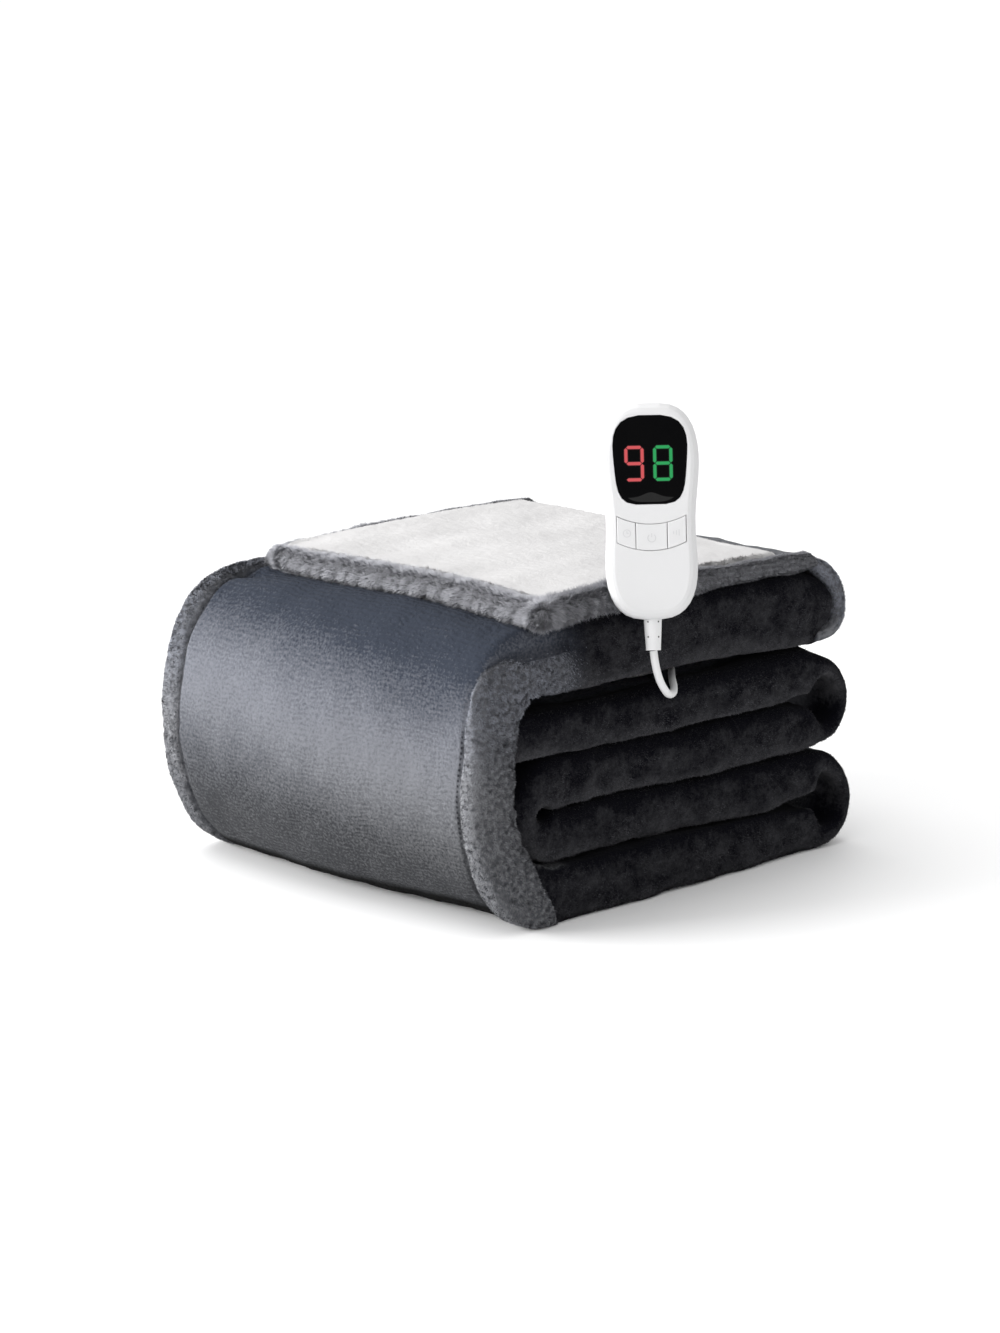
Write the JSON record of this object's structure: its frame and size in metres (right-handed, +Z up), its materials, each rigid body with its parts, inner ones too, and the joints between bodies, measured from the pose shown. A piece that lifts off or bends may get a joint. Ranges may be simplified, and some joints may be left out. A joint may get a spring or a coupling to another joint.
{
  "type": "folded electric heated blanket with handset",
  "caption": "Plush heated throw folded into a neat pile, its top fold showing a white pile side inside a rolled hem, with a wired handset that has a display and keys.",
  "frame": {"origin": "on the ground, under the middle of the folded throw", "axes": "+Z up, +X along the front face where the ends of the folds show, +Y from the front face to the back"},
  "size_m": [0.3734, 0.3499, 0.3315],
  "materials": {
    "grey_plush": "soft short plush pile, longer and lighter in the hems",
    "white_pile": "curly white pile",
    "white_plastic": "smooth satin gloss",
    "black_window": "polished black window",
    "white_key": "smooth satin",
    "white_jacket": "smooth soft jacket"
  },
  "bodies": {
    "throw": {"blanket": "grey_plush", "pile_panel": "white_pile", "handset_housing": "white_plastic", "display_window": "black_window", "strain_relief": "white_jacket", "lead": "white_jacket", "lead_coil": "white_jacket"},
    "left_key": {"key_left": "white_key"},
    "middle_key": {"key_middle": "white_key"},
    "right_key": {"key_right": "white_key"}
  },
  "joints": [
    {"name": "left_key_press", "type": "slide", "parent": "throw", "child": "left_key", "axis": [0.6632, 0.7111, -0.2334], "range_m": [0, 0.0008], "stiffness_N_per_m": 1500},
    {"name": "middle_key_press", "type": "slide", "parent": "throw", "child": "middle_key", "axis": [0.6632, 0.7111, -0.2334], "range_m": [0, 0.0008], "stiffness_N_per_m": 1500},
    {"name": "right_key_press", "type": "slide", "parent": "throw", "child": "right_key", "axis": [0.6632, 0.7111, -0.2334], "range_m": [0, 0.0008], "stiffness_N_per_m": 1500}
  ]
}
